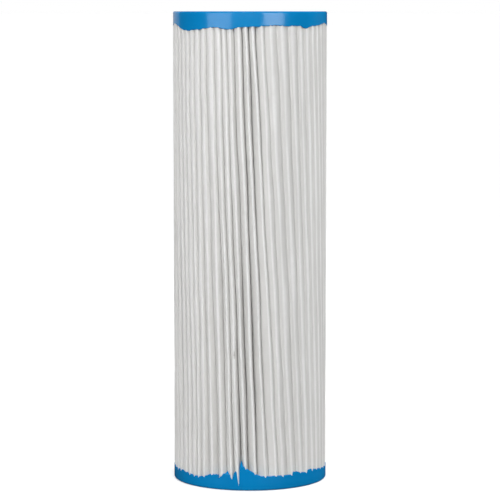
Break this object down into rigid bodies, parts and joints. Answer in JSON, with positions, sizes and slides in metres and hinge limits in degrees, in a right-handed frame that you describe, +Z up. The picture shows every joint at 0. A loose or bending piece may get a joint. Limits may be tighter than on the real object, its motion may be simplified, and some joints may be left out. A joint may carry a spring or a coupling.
{
  "type": "pleated filter cartridge",
  "caption": "Cylindrical pleated filter cartridge with open moulded end caps, folded polyester media and a perforated inner core, for a pool or spa filter.",
  "frame": {"origin": "centre of the bottom end cap's outer face, which the cartridge stands on", "axes": "+Z up along the cartridge's axis to the top end cap, -Y towards the picture's viewpoint, +Y towards the media's seam"},
  "size_m": [0.108, 0.108, 0.33],
  "materials": {
    "cap_urethane": "satin-gloss cast polyurethane, mid blue",
    "filter_media": "matt spun-bonded polyester, off-white",
    "hot_melt": "translucent cream hot-melt adhesive",
    "core_plastic": "white moulded plastic"
  },
  "bodies": {
    "root": {"bottom_end_cap": "cap_urethane", "top_end_cap": "cap_urethane", "pleated_media": "filter_media", "media_seam_bead": "hot_melt", "core_section_lower": "core_plastic", "core_section_middle": "core_plastic", "core_section_upper": "core_plastic"}
  },
  "joints": []
}
